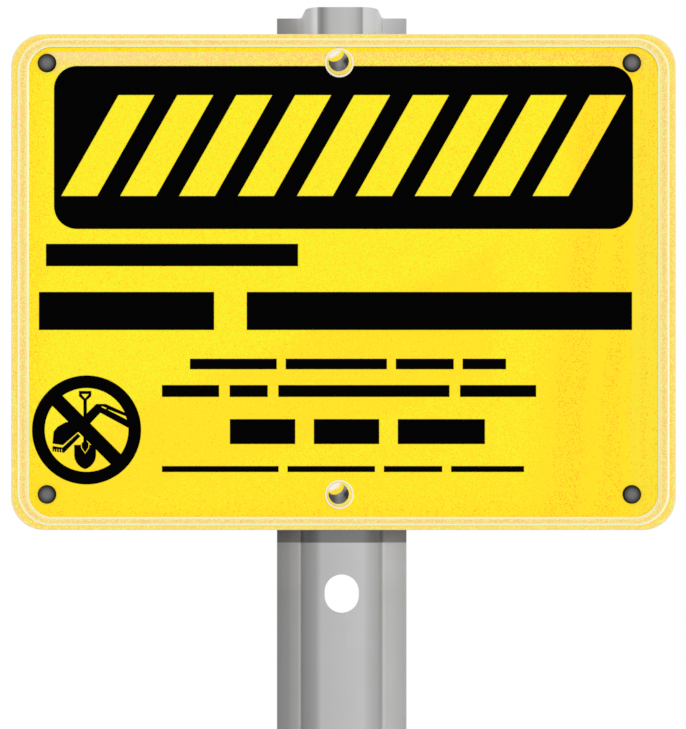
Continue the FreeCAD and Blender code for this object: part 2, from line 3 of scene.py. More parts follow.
import bmesh
import bpy
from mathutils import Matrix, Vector


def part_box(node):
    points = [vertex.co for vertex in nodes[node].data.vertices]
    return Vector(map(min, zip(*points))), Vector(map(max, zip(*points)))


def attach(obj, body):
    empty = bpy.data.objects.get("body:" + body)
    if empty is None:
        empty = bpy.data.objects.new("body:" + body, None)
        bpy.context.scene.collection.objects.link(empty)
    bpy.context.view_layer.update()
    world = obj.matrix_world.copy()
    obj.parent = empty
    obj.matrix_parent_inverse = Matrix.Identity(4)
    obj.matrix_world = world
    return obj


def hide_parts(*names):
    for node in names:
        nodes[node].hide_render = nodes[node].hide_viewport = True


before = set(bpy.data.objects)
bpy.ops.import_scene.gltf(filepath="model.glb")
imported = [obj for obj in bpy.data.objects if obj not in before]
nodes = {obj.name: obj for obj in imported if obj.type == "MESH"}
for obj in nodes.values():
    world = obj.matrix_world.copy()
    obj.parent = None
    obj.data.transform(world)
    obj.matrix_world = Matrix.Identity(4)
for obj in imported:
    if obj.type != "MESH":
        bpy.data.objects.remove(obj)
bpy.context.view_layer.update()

# Post: a hat section channel, cold rolled from strip and hot-dip galvanised. The zinc is dull and even,
# with a faint spangle and rolling streaks. Its grey carries painted shade, darker on the legs and the
# flanges' roots, and above the sign painted highlights along the bends.

# Sizes are written in millimetres, and MM turns them into Blender's metres.
MM = 0.001
post_low, post_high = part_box("post")
sign_low, sign_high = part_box("sign_panel")
POST_HALF = 41.0
# Tones across the section, from the left flange's edge over the left leg, the web and the right leg, first
# below the sign and then above it. They are the zinc's grey with painted shade and painted highlights, as
# the light would fall across the section.
SHADED_TONES_BELOW = (
    (-41.0, "#8D8D8D"), (-34.0, "#9D9D9D"), (-30.5, "#B1B1B1"), (-26.2, "#C7C7C7"), (-25.4, "#9B9B9B"),
    (-22.0, "#949494"), (-16.0, "#A2A2A2"), (-12.5, "#BDBDBE"), (12.0, "#C7C7C8"), (13.5, "#C6C6C6"),
    (16.5, "#BBBBBB"), (24.6, "#AAAAAA"), (26.2, "#D0D0D0"), (30.0, "#CECECE"), (41.0, "#B7B7B7"),
)
SHADED_TONES_ABOVE = (
    (-41.0, "#8D8E91"), (-34.0, "#9B9CA1"), (-29.5, "#ABACB2"), (-26.4, "#C4C4C8"), (-25.4, "#D7D7DC"),
    (-22.0, "#C5C5C8"), (-19.5, "#C3C3C5"), (-17.0, "#D8D8D9"), (-15.3, "#DADADA"), (-14.5, "#A0A0A0"),
    (-12.4, "#848484"), (-7.0, "#BABABA"), (3.0, "#C4C4C4"), (8.0, "#BCBCBC"), (12.6, "#9C9C9C"),
    (13.3, "#D5D5D5"), (21.0, "#D0D0D2"), (24.3, "#E2E2E8"), (26.0, "#D0D1DA"), (41.0, "#B6B7BF"),
)
# The painted tones above begin behind the panel, this far below its top edge, on all that looks to
# the front.
SHADED_ABOVE_FROM = 9.0
FRONT_FACING = -0.1
# The zinc's spangle and rolling streaks. Its grain is too fine to show and is drawn at this size.
SPANGLE = 12.0
STREAK_WIDTH = 1.6
STREAK_LENGTH = 140.0
ZINC_GRAIN = 0.9
# The darkest share of the tone that is left, and how much each pattern adds to it.
DARKEST = 0.94
SPANGLE_SHARE = 0.025
STREAK_SHARE = 0.04
GRAIN_SHARE = 0.05
# A painted shadow of the panel: a darker strip just below the sign's edge. It reaches a little further
# down on the flanges, which stand back from the panel.
SHADOW_HEIGHT = 7.95
SHADOW_FALL = 0.103
SHADOW_SHARE_WEB = 0.383
SHADOW_SHARE_FLANGE = 0.43
SHADOW_SHARE_LEG = 0.67
# Close under the panel the flanges are painted brighter and bluer, a painted light that evens out the
# yellow
# shade that the panel casts on them: from how far below the panel, where in full, and by how much.
PAINTED_LIGHT_FROM = 42.0
PAINTED_LIGHT_FULL = 6.0
PAINTED_LIGHT_TINT = "#F3F5FF"
PAINTED_LIGHT_LIFT = 1.25


def linear(colour):
    """An sRGB hex colour as the linear RGBA that Blender works in."""
    channels = [int(colour[n:n + 2], 16) / 255 for n in (1, 3, 5)]
    return [c / 12.92 if c <= 0.04045 else ((c + 0.055) / 1.055) ** 2.4 for c in channels] + [1.0]


def add(tree, kind, sockets=None, stops=None, interpolation="LINEAR", **settings):
    """Adds a node with its settings. Each socket, by its name or number, is given a value, another node's
    output to link, or a node to link by its first output. A Mix of colours takes its share at 0 and the
    colours at 6 and 7. Stops are a colour ramp's places and colours."""
    node = tree.nodes.new(kind)
    for name, setting in settings.items():
        setattr(node, name, setting)
    for socket, given in (sockets or {}).items():
        if isinstance(given, bpy.types.Node):
            given = given.outputs[0]
        if isinstance(given, bpy.types.NodeSocket):
            tree.links.new(given, node.inputs[socket])
        else:
            node.inputs[socket].default_value = given
    if stops:
        node.color_ramp.interpolation = interpolation
        elements = node.color_ramp.elements
        elements.remove(elements[1])
        for number, (place, colour) in enumerate(stops):
            element = elements[0] if number == 0 else elements.new(place)
            element.position = place
            element.color = linear(colour)
    return node


def new_finish(name, **sockets):
    """A material with one Principled shader. Its plain values are given by the sockets' names."""
    material = bpy.data.materials.new(name)
    material.use_nodes = True
    shader = material.node_tree.nodes["Principled BSDF"]
    for socket, given in sockets.items():
        shader.inputs[socket.replace("_", " ")].default_value = given
    return material, material.node_tree, shader


def give(material, *names):
    """Gives CAD nodes their finish."""
    for name in names:
        nodes[name].data.materials.clear()
        nodes[name].data.materials.append(material)


# Weathered zinc is part bare metal and part a dull film of its salts, so it is half metallic and rough.
galvanised, tree, shader = new_finish(
    "hot_dip_galvanised_steel", Metallic=0.5, Roughness=0.62, Specular_IOR_Level=0.3)
coordinates = add(tree, "ShaderNodeTexCoord")
place = coordinates.outputs["Object"]
axis = add(tree, "ShaderNodeSeparateXYZ", {0: place})
across = add(tree, "ShaderNodeMapRange", {
    "Value": axis.outputs["X"], "From Min": -POST_HALF * MM, "From Max": POST_HALF * MM})
# The section's painted shade and highlights, below the sign and above it.
shaded_tones = [
    add(tree, "ShaderNodeValToRGB", {0: across}, stops=[
        ((x + POST_HALF) / (2 * POST_HALF), colour) for x, colour in column])
    for column in (SHADED_TONES_BELOW, SHADED_TONES_ABOVE)]
outward = add(tree, "ShaderNodeSeparateXYZ", {0: coordinates.outputs["Normal"]})
to_front = add(tree, "ShaderNodeMath", {
    0: outward.outputs["Y"], 1: FRONT_FACING}, operation="LESS_THAN")
above_sign = add(tree, "ShaderNodeMath", {
    0: axis.outputs["Z"], 1: sign_high.z - SHADED_ABOVE_FROM * MM}, operation="GREATER_THAN")
above_sign_front = add(tree, "ShaderNodeMath", {0: above_sign, 1: to_front}, operation="MULTIPLY")
shaded_tone = add(tree, "ShaderNodeMix", {0: above_sign_front, 6: shaded_tones[0], 7: shaded_tones[1]}, data_type="RGBA").outputs[2]

spangle = add(tree, "ShaderNodeTexVoronoi", {"Vector": place, "Scale": 1 / (SPANGLE * MM)})
flower = add(tree, "ShaderNodeSeparateColor", {0: spangle.outputs["Color"]})
stretched = add(tree, "ShaderNodeVectorMath", {
    0: place, 1: (1 / (STREAK_WIDTH * MM), 1 / (STREAK_WIDTH * MM), 1 / (STREAK_LENGTH * MM)),
}, operation="MULTIPLY")
streak = add(tree, "ShaderNodeTexNoise", {"Vector": stretched, "Scale": 1.0, "Detail": 3.0})
grain = add(tree, "ShaderNodeTexNoise", {"Vector": place, "Scale": 1 / (ZINC_GRAIN * MM), "Detail": 2.0})
mottle_light_and_shade = DARKEST
for pattern, share in ((flower, SPANGLE_SHARE), (streak, STREAK_SHARE), (grain, GRAIN_SHARE)):
    mottle_light_and_shade = add(tree, "ShaderNodeMath", {0: pattern, 1: share, 2: mottle_light_and_shade}, operation="MULTIPLY_ADD")

# The painted shadow below the panel's lower edge.
under_edge = add(tree, "ShaderNodeMath", {0: axis.outputs["Z"], 1: sign_low.z}, operation="LESS_THAN")
lifted = add(tree, "ShaderNodeMath", {
    0: axis.outputs["Y"], 1: SHADOW_FALL, 2: axis.outputs["Z"]}, operation="MULTIPLY_ADD")
shadow_edge = sign_low.z - SHADOW_HEIGHT * MM + SHADOW_FALL * post_low.y
shadow_strip = add(tree, "ShaderNodeMath", {0: lifted, 1: shadow_edge}, operation="GREATER_THAN")
for part in (under_edge, to_front):
    shadow_strip = add(tree, "ShaderNodeMath", {0: shadow_strip, 1: part}, operation="MULTIPLY")
set_back = add(tree, "ShaderNodeMapRange", {
    "Value": axis.outputs["Y"], "From Min": post_low.y, "From Max": post_high.y})
shadow_share = add(tree, "ShaderNodeMapRange", {
    "Value": set_back, "To Min": SHADOW_SHARE_WEB, "To Max": SHADOW_SHARE_FLANGE})
sideways = add(tree, "ShaderNodeMath", {0: outward.outputs["X"]}, operation="ABSOLUTE")
leg_shadow_share = add(tree, "ShaderNodeMapRange", {"Value": sideways, "To Min": 1.0, "To Max": SHADOW_SHARE_LEG})
shadow_share = add(tree, "ShaderNodeMath", {0: shadow_share, 1: leg_shadow_share}, operation="MULTIPLY")
shade = add(tree, "ShaderNodeMapRange", {"Value": shadow_strip, "To Min": 1.0, "To Max": shadow_share})

# The painted light on the flanges close under the panel.
painted_light = add(tree, "ShaderNodeMapRange", {
    "Value": axis.outputs["Z"], "From Min": sign_low.z - PAINTED_LIGHT_FROM * MM,
    "From Max": sign_low.z - PAINTED_LIGHT_FULL * MM})
for part in (under_edge, set_back, to_front):
    painted_light = add(tree, "ShaderNodeMath", {0: painted_light, 1: part}, operation="MULTIPLY")
shaded_tone = add(tree, "ShaderNodeMix", {
    0: painted_light, 6: shaded_tone, 7: linear(PAINTED_LIGHT_TINT)}, data_type="RGBA", blend_type="MULTIPLY").outputs[2]
painted_lift = add(tree, "ShaderNodeMapRange", {"Value": painted_light, "To Min": 1.0, "To Max": PAINTED_LIGHT_LIFT})
# The painted shadow and the painted light are multiplied into the zinc's pattern.
for part in (shade, painted_lift):
    mottle_light_and_shade = add(tree, "ShaderNodeMath", {0: mottle_light_and_shade, 1: part}, operation="MULTIPLY")
zinc_skin = add(tree, "ShaderNodeVectorMath", {0: shaded_tone, "Scale": mottle_light_and_shade.outputs[0]}, operation="SCALE")
tree.links.new(zinc_skin.outputs[0], shader.inputs["Base Color"])
relief = add(tree, "ShaderNodeBump", {"Height": grain, "Strength": 0.12, "Distance": 0.1 * MM})
tree.links.new(relief.outputs["Normal"], shader.inputs["Normal"])
give(galvanised, "post")

# Sign panel: one sheet of high density polyethylene, moulded yellow right through, with a raised bead
# inside its lip. The lip and the bead are paler than the face, the bead's flanks carry nearly white painted
# highlights, and the face a painted sheen near its top. The pigment is flecked, in grains too fine to see,
# so they are drawn as coarse as they need to be to show.
FLECK = 0.58
FLECK_SCATTER = 0.6
PANEL_CORNER = 20.0
LIP_SIDE = 4.2
LIP_TOP = 2.85
BEAD_SIDE = 6.9
BEAD_TOP = 5.25
BEAD_RISE = 2.0
BEAD_CORNER = 20.6
# Soft clouds in the pigment, and the faint ripple that the mould left in the surface.
CLOUD = 45.0
PEEL = 2.5
sign_middle = (sign_low + sign_high) / 2
sign_half = (sign_high - sign_low) / 2


def beyond_line(tree, place, side, top, corner):
    """How far a point lies outside a rounded line on the sign, set in by side and top from its edge."""
    straight = Vector((sign_half.x - (side + corner) * MM, 0, sign_half.z - (top + corner) * MM))
    offset = add(tree, "ShaderNodeVectorMath", {0: place, 1: sign_middle}, operation="SUBTRACT")
    flat = add(tree, "ShaderNodeVectorMath", {0: offset, 1: (1, 0, 1)}, operation="MULTIPLY")
    folded = add(tree, "ShaderNodeVectorMath", {0: flat}, operation="ABSOLUTE")
    past = add(tree, "ShaderNodeVectorMath", {0: folded, 1: straight}, operation="SUBTRACT")
    outside = add(tree, "ShaderNodeVectorMath", {0: past, 1: (0, 0, 0)}, operation="MAXIMUM")
    reach = add(tree, "ShaderNodeVectorMath", {0: outside}, operation="LENGTH")
    return add(tree, "ShaderNodeMath", {0: reach.outputs["Value"], 1: corner * MM}, operation="SUBTRACT")


# Polyethylene is waxy: a soft sheen and hardly a highlight.
plastic, tree, shader = new_finish(
    "moulded_yellow_polyethylene", Roughness=0.45, IOR=1.5, Specular_IOR_Level=0.12)
place = add(tree, "ShaderNodeTexCoord").outputs["Object"]
axis = add(tree, "ShaderNodeSeparateXYZ", {0: place})
beyond_edge = beyond_line(tree, place, 0, 0, PANEL_CORNER)
beyond_bead = beyond_line(tree, place, LIP_SIDE, LIP_TOP, BEAD_CORNER)
beyond_face = beyond_line(
    tree, place, LIP_SIDE + BEAD_SIDE, LIP_TOP + BEAD_TOP, BEAD_CORNER - (BEAD_SIDE + BEAD_TOP) / 2)
flecks = add(tree, "ShaderNodeTexVoronoi", {
    "Vector": place, "Scale": 1 / (FLECK * MM), "Randomness": FLECK_SCATTER})
lot = add(tree, "ShaderNodeSeparateColor", {0: flecks.outputs["Color"]})
cloud = add(tree, "ShaderNodeTexNoise", {"Vector": place, "Scale": 1 / (CLOUD * MM), "Detail": 2.0})

# A painted sheen below a strip along the bead that it leaves out: how far below the top edge it starts to
# fade and is gone, where it begins at the left, and where it starts to thin out to the right, to what share
# and how steeply. It also brings out some orange, all along.
SHEEN_INSET = 3.1
FADE_FROM = 12.0
FADE_TO = 26.0
LEFT_END = -186.0
LEFT_FULL = -176.0
THINNING_FROM = -150.0
THINNING_TO = 140.0
THINNED_SHARE = 0.47
THINNING_STEEPNESS = 2.2
SHEEN_ORANGE = 0.28
from_top = add(tree, "ShaderNodeMath", {0: sign_high.z, 1: axis.outputs["Z"]}, operation="SUBTRACT")
under_strip = add(tree, "ShaderNodeMath", {0: beyond_face, 1: -SHEEN_INSET * MM}, operation="LESS_THAN")
downward = add(tree, "ShaderNodeMapRange", {
    "Value": from_top, "From Min": FADE_FROM * MM, "From Max": FADE_TO * MM, "To Min": 1.0, "To Max": 0.0})
rightward = add(tree, "ShaderNodeMapRange", {
    "Value": axis.outputs["X"], "From Min": THINNING_FROM * MM, "From Max": THINNING_TO * MM,
    "To Min": 1.0, "To Max": THINNED_SHARE})
rightward = add(tree, "ShaderNodeMath", {0: rightward, 1: THINNING_STEEPNESS}, operation="POWER")
from_left = add(tree, "ShaderNodeMapRange", {
    "Value": axis.outputs["X"], "From Min": LEFT_END * MM, "From Max": LEFT_FULL * MM})
sheen = under_strip
for part in (downward, from_left):
    sheen = add(tree, "ShaderNodeMath", {0: sheen, 1: part}, operation="MULTIPLY")
sheen_orange = add(tree, "ShaderNodeMath", {0: sheen, 1: SHEEN_ORANGE}, operation="MULTIPLY")
sheen = add(tree, "ShaderNodeMath", {0: sheen, 1: rightward}, operation="MULTIPLY")
# The flecks of the painted sheen.
sheen_flecks = add(tree, "ShaderNodeValToRGB", {0: lot}, stops=[
    (0.0, "#EDF283"), (0.3, "#FAD39B")], interpolation="CONSTANT")

# The face: flecks of lemon and orange in a yellow ground, in areas with wavering borders. The first two
# sizes are how far the borders waver, and how far from the bead the face still takes on its orange.
WAVER = 16.0
BEAD_REACH = 15.0
# The bands where the melt flowed: each one's middle and half width, from a line near the right bead, how
# soft their edges are, and how much orange they hold. They fan out downwards: their scale at the sign's
# middle, and how much it grows for each metre down.
FAN_EDGE = 185.3
FAN_SCALE = 1.08
FAN_OPENING = 2.1
FLOW_BANDS = ((36.7, 7.8), (16.5, 4.3))
BAND_EDGE = 1.5
BAND_ORANGE = 0.133
cloud_offset = add(tree, "ShaderNodeVectorMath", {
    0: cloud.outputs["Color"], 1: (0.5, 0.5, 0.5)}, operation="SUBTRACT")
waver = add(tree, "ShaderNodeVectorMath", {0: cloud_offset, "Scale": WAVER * MM}, operation="SCALE")
offset = add(tree, "ShaderNodeVectorMath", {0: place, 1: sign_middle}, operation="SUBTRACT")
offset = add(tree, "ShaderNodeVectorMath", {0: offset, 1: waver}, operation="ADD")
spot = add(tree, "ShaderNodeSeparateXYZ", {0: offset})
from_line = add(tree, "ShaderNodeMath", {0: FAN_EDGE * MM, 1: spot.outputs["X"]}, operation="SUBTRACT")
opening = add(tree, "ShaderNodeMath", {
    0: spot.outputs["Z"], 1: -FAN_OPENING, 2: FAN_SCALE}, operation="MULTIPLY_ADD")
fan = add(tree, "ShaderNodeMath", {0: from_line, 1: opening}, operation="DIVIDE")
near_bead = add(tree, "ShaderNodeMapRange", {
    "Value": beyond_face, "From Min": -BEAD_REACH * MM, "From Max": 0.0}, interpolation_type="SMOOTHSTEP")

# Lemon lies above a slanting swath with hardly any, and again below it and to the right. Each of these
# areas has the direction it is measured in, where its border starts and ends, and its share of lemon there.
LEMON_AREAS = (
    ((0.41, 0, -0.91), 10.0, 27.0, 0.51, 0.06),
    ((0.30, 0, -0.954), 76.0, 93.0, 0.0, 0.34),
    ((1.0, 0, 0.0), 84.0, 97.0, 0.0, 0.41),
)
# It is scarce on the flow bands' side of a line, thinner in a strip low down, and thinner at the bead.
SCARCE_TO = 44.0
PLENTY_FROM = 64.0
SCARCE_SHARE = 0.03
LOW_STRIP = -122.0
LOW_STRIP_END = -112.0
LOW_STRIP_SHARE = 0.55
AT_BEAD_SHARE = 0.3
lemon_share = 0.0
for direction, start, end, low, high in LEMON_AREAS:
    along = add(tree, "ShaderNodeVectorMath", {0: offset, 1: direction}, operation="DOT_PRODUCT")
    area = add(tree, "ShaderNodeMapRange", {
        "Value": along.outputs["Value"], "From Min": start * MM, "From Max": end * MM, "To Min": low,
        "To Max": high}, interpolation_type="SMOOTHSTEP")
    lemon_share = add(tree, "ShaderNodeMath", {0: lemon_share, 1: area}, operation="MAXIMUM")
beside_bands = add(tree, "ShaderNodeMapRange", {
    "Value": fan, "From Min": SCARCE_TO * MM, "From Max": PLENTY_FROM * MM, "To Min": SCARCE_SHARE,
}, interpolation_type="SMOOTHSTEP")
low_down = add(tree, "ShaderNodeMapRange", {
    "Value": spot.outputs["Z"], "From Min": LOW_STRIP * MM, "From Max": LOW_STRIP_END * MM,
    "To Min": LOW_STRIP_SHARE})
off_bead = add(tree, "ShaderNodeMapRange", {
    "Value": near_bead, "To Min": 1.0, "To Max": AT_BEAD_SHARE})
for part in (beside_bands, low_down, off_bead):
    lemon_share = add(tree, "ShaderNodeMath", {0: lemon_share, 1: part}, operation="MULTIPLY")
is_lemon = add(tree, "ShaderNodeMath", {0: lot, 1: lemon_share}, operation="LESS_THAN")

# Orange lies in the flow bands, in fine lines beside the right bead, and a little along the bead and in the
# painted sheen. The fine lines have a width, a length, the levels of noise that start and fill them, how
# much orange they hold, and how far from the fan's line they reach.
SPARSE_ORANGE = 0.008
BEAD_ORANGE = 0.066
HAIR_WIDTH = 2.6
HAIR_LENGTH = 300.0
HAIR_START = 0.45
HAIR_FULL = 0.6
HAIR_ORANGE = 0.125
HAIRS_END = 9.0
HAIRS_FULL = 6.0
orange_share = add(tree, "ShaderNodeMath", {
    0: near_bead, 1: BEAD_ORANGE, 2: SPARSE_ORANGE}, operation="MULTIPLY_ADD")
for middle, half in FLOW_BANDS:
    aside = add(tree, "ShaderNodeMath", {0: fan, 1: middle * MM}, operation="SUBTRACT")
    aside = add(tree, "ShaderNodeMath", {0: aside}, operation="ABSOLUTE")
    band = add(tree, "ShaderNodeMapRange", {
        "Value": aside, "From Min": (half + BAND_EDGE) * MM, "From Max": (half - BAND_EDGE) * MM,
        "To Max": BAND_ORANGE})
    orange_share = add(tree, "ShaderNodeMath", {0: orange_share, 1: band}, operation="ADD")
drawn_out = add(tree, "ShaderNodeVectorMath", {
    0: place, 1: (1 / (HAIR_WIDTH * MM), 0, 1 / (HAIR_LENGTH * MM))}, operation="MULTIPLY")
hairs = add(tree, "ShaderNodeTexNoise", {"Vector": drawn_out, "Scale": 1.0, "Detail": 0.0})
hairs = add(tree, "ShaderNodeMapRange", {
    "Value": hairs, "From Min": HAIR_START, "From Max": HAIR_FULL, "To Max": HAIR_ORANGE})
at_right = add(tree, "ShaderNodeMapRange", {
    "Value": fan, "From Min": HAIRS_END * MM, "From Max": HAIRS_FULL * MM})
hairs = add(tree, "ShaderNodeMath", {0: hairs, 1: at_right}, operation="MULTIPLY")
for part in (hairs, sheen_orange):
    orange_share = add(tree, "ShaderNodeMath", {0: orange_share, 1: part}, operation="ADD")
from_end = add(tree, "ShaderNodeMath", {0: 1.0, 1: lot}, operation="SUBTRACT")
is_orange = add(tree, "ShaderNodeMath", {0: from_end, 1: orange_share}, operation="LESS_THAN")

face = add(tree, "ShaderNodeValToRGB", {0: cloud}, stops=[(0.3, "#FFE022"), (0.7, "#FFDE22")])
for mask, colour in ((at_right, "#F9E032"), (is_lemon, "#F5F126"), (is_orange, "#FFBB24")):
    face = add(tree, "ShaderNodeMix", {0: mask, 6: face, 7: linear(colour)}, data_type="RGBA").outputs[2]

# The bead: orange flecks along its middle, and paler ones towards its flanks.
PALING = 2.3
PALE_SCATTER = 0.36
bead_width = add(tree, "ShaderNodeMath", {0: beyond_face, 1: beyond_bead}, operation="SUBTRACT")
bead_share = add(tree, "ShaderNodeMath", {0: beyond_face, 1: bead_width}, operation="DIVIDE")
off_middle = add(tree, "ShaderNodeMath", {0: bead_share, 1: 0.5}, operation="SUBTRACT")
to_flank = add(tree, "ShaderNodeMath", {0: off_middle, 1: off_middle}, operation="MULTIPLY")
to_flank = add(tree, "ShaderNodeMath", {0: to_flank, 1: PALING}, operation="MULTIPLY")
bead_level = add(tree, "ShaderNodeMath", {0: lot, 1: PALE_SCATTER, 2: to_flank}, operation="MULTIPLY_ADD")
bead = add(tree, "ShaderNodeValToRGB", {0: bead_level}, stops=[
    (0.0, "#F8C078"), (0.08, "#F9D47E"), (0.3, "#F3EE92"), (0.73, "#F4F0B0")], interpolation="CONSTANT")

# The lip: deep yellow beside the bead, paling outwards to its thin edge, in green and orange flecks.
GREEN_SHARE = 0.32
lip_width = add(tree, "ShaderNodeMath", {0: beyond_bead, 1: beyond_edge}, operation="SUBTRACT")
lip_share = add(tree, "ShaderNodeMath", {0: beyond_bead, 1: lip_width}, operation="DIVIDE")
lip_green = add(tree, "ShaderNodeValToRGB", {0: lip_share}, stops=[
    (0.0, "#F3F15E"), (0.5, "#F2F16E"), (0.8, "#F1F28E"), (1.0, "#F1F4BE")])
lip_orange = add(tree, "ShaderNodeValToRGB", {0: lip_share}, stops=[
    (0.0, "#FCD55C"), (0.5, "#FBD268"), (0.8, "#F8D483"), (1.0, "#F3E7B6")])
past_green = add(tree, "ShaderNodeMath", {0: lot, 1: GREEN_SHARE}, operation="GREATER_THAN")
lip = add(tree, "ShaderNodeMix", {
    0: past_green, 6: lip_green, 7: lip_orange}, data_type="RGBA").outputs[2]

# The bead's two flanks carry painted highlights: their widths, and each one's tones at the sign's foot and
# at its top.
INNER_FLANK = 1.0
OUTER_FLANK = 1.15
INNER_HIGHLIGHT_TONES = ("#F4F2CC", "#FFFFD6")
OUTER_HIGHLIGHT_TONES = ("#FFFFE4", "#F6F4D0")
inner_flank = add(tree, "ShaderNodeMath", {
    0: beyond_face, 1: INNER_FLANK * MM / 2, 2: INNER_FLANK * MM / 2}, operation="COMPARE")
outer_flank = add(tree, "ShaderNodeMath", {
    0: beyond_bead, 1: -OUTER_FLANK * MM / 2, 2: OUTER_FLANK * MM / 2}, operation="COMPARE")
upward = add(tree, "ShaderNodeMapRange", {
    "Value": axis.outputs["Z"], "From Min": sign_low.z, "From Max": sign_high.z})
inner_highlight, outer_highlight = [
    add(tree, "ShaderNodeMix", {0: upward, 6: linear(low), 7: linear(high)}, data_type="RGBA").outputs[2]
    for low, high in (INNER_HIGHLIGHT_TONES, OUTER_HIGHLIGHT_TONES)]

# All of it is laid over the plain back, from the bottom up. The front reaches just behind the face, and
# the lip's paling goes round its edge, short of the back.
FRONT_DEPTH = 0.1
BACK_MARGIN = 0.2
back = add(tree, "ShaderNodeValToRGB", {0: cloud}, stops=[(0.35, "#F4DC28"), (0.65, "#F0D326")])
# The face, with the painted sheen laid over it.
front = add(tree, "ShaderNodeMix", {0: sheen, 6: face, 7: sheen_flecks}, data_type="RGBA").outputs[2]
on_bead = add(tree, "ShaderNodeMath", {0: beyond_face, 1: 0.0}, operation="GREATER_THAN")
# Then the bead and the painted highlights on its flanks.
for mask, above in ((on_bead, bead), (inner_flank, inner_highlight), (outer_flank, outer_highlight)):
    front = add(tree, "ShaderNodeMix", {0: mask, 6: front, 7: above}, data_type="RGBA").outputs[2]
on_front = add(tree, "ShaderNodeMath", {
    0: axis.outputs["Y"], 1: sign_low.y + (BEAD_RISE + FRONT_DEPTH) * MM}, operation="LESS_THAN")
on_lip = add(tree, "ShaderNodeMath", {0: beyond_bead, 1: 0.0}, operation="GREATER_THAN")
off_back = add(tree, "ShaderNodeMath", {
    0: axis.outputs["Y"], 1: sign_high.y - BACK_MARGIN * MM}, operation="LESS_THAN")
lip_front = add(tree, "ShaderNodeMath", {0: on_lip, 1: off_back}, operation="MULTIPLY")
skin = back
for mask, above in ((on_front, front), (lip_front, lip)):
    skin = add(tree, "ShaderNodeMix", {0: mask, 6: skin, 7: above}, data_type="RGBA").outputs[2]
tree.links.new(skin, shader.inputs["Base Color"])
peel = add(tree, "ShaderNodeTexNoise", {"Vector": place, "Scale": 1 / (PEEL * MM), "Detail": 2.0})
relief = add(tree, "ShaderNodeBump", {"Height": peel, "Strength": 0.05, "Distance": 0.1 * MM})
tree.links.new(relief.outputs["Normal"], shader.inputs["Normal"])
give(plastic, "sign_panel")

# Print: black ink, screen printed in one pass and fused into the plastic. It is dense and nearly matt,
# with the mesh's faint unevenness. A mesh's threads are too fine to show, so it is drawn ten times coarser.
INK_MOTTLE = 1.5
PRINT_LINES = 6
ink, tree, shader = new_finish("black_screen_ink", Roughness=0.5, Specular_IOR_Level=0.01)
place = add(tree, "ShaderNodeTexCoord").outputs["Object"]
mottle = add(tree, "ShaderNodeTexNoise", {"Vector": place, "Scale": 1 / (INK_MOTTLE * MM), "Detail": 2.0})
black = add(tree, "ShaderNodeValToRGB", {0: mottle}, stops=[(0.3, "#010101"), (0.7, "#030303")])
tree.links.new(black.outputs[0], shader.inputs["Base Color"])
give(ink, "header_field", "no_dig_symbol", *["print_line_%d" % (line + 1) for line in range(PRINT_LINES)])

# Carriage bolts: cold headed steel, bright nickel plated, with a square neck in the sign's hole and a
# rolled 1/4 in coarse thread. The dome is painted with reflections of the white sky above, the yellow sign
# and the dark ground.
SHANK = 6.35
THREAD_PITCH = 1.27
THREAD_DEPTH = 0.7
THREAD_CREST = 0.12
POINT_LENGTH = 0.8
POINT_DEPTH = 0.55
HEAD_RIM = 0.6
RIM_ROUND = 0.35
RIM_DRAW = 0.3
NECK_HALF = 3.25
NECK_MARGIN = 0.2
# How finely the meshes are divided: around the axis, along the dome, over the rim and in one thread turn.
AROUND = 96
DOME_STEPS = 20
RIM_STEPS = 4
THREAD_STEPS = 10
# The share of the dome's angle at which its rim begins, and the angle that still looks smooth.
DOME_SHARE = 0.985
SMOOTH_BELOW = math.radians(35)
bolts_low, bolts_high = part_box("bolts")
washer_low, washer_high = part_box("face_washer_upper")
head_radius = (bolts_high.x - bolts_low.x) / 2
bolt_x = (bolts_high.x + bolts_low.x) / 2
bolt_rows = (bolts_low.z + head_radius, bolts_high.z - head_radius)
head_seat = washer_low.y
neck_end = sign_high.y - NECK_MARGIN * MM


def shell(mesh, rings):
    """Skins a stack of rings, each with as many points as the next, and closes both ends."""
    rows = [[mesh.verts.new(point) for point in ring] for ring in rings]
    count = len(rows[0])
    for row, following in zip(rows, rows[1:]):
        for number in range(count):
            after = (number + 1) % count
            mesh.faces.new((row[number], row[after], following[after], following[number]))
    mesh.faces.new(rows[0][::-1])
    mesh.faces.new(rows[-1])


def ring_at(radius, y, z):
    """The points of one ring about a bolt's axis."""
    angles = [2 * math.pi * number / AROUND for number in range(AROUND)]
    return [(bolt_x + radius * math.cos(a), y, z + radius * math.sin(a)) for a in angles]


def head_rings(z):
    """The head's rings, from the top of its dome over its rounded rim to its seat."""
    rise = head_seat - bolts_low.y - HEAD_RIM * MM
    dome_radius = (head_radius ** 2 + rise ** 2) / (2 * rise)
    half_angle = math.asin(head_radius / dome_radius)
    rings = []
    for step in range(1, DOME_STEPS + 1):
        angle = half_angle * step / DOME_STEPS * DOME_SHARE
        y = bolts_low.y + dome_radius * (1 - math.cos(angle))
        rings.append(ring_at(dome_radius * math.sin(angle), y, z))
    for step in range(1, RIM_STEPS + 1):
        turn = math.pi / 2 * step / RIM_STEPS
        radius = head_radius - RIM_ROUND * MM * (1 - math.sin(turn)) * RIM_DRAW
        y = head_seat - HEAD_RIM * MM + RIM_ROUND * MM * (1 - math.cos(turn))
        rings.append(ring_at(radius, y, z))
    return rings + [ring_at(head_radius, head_seat, z)]


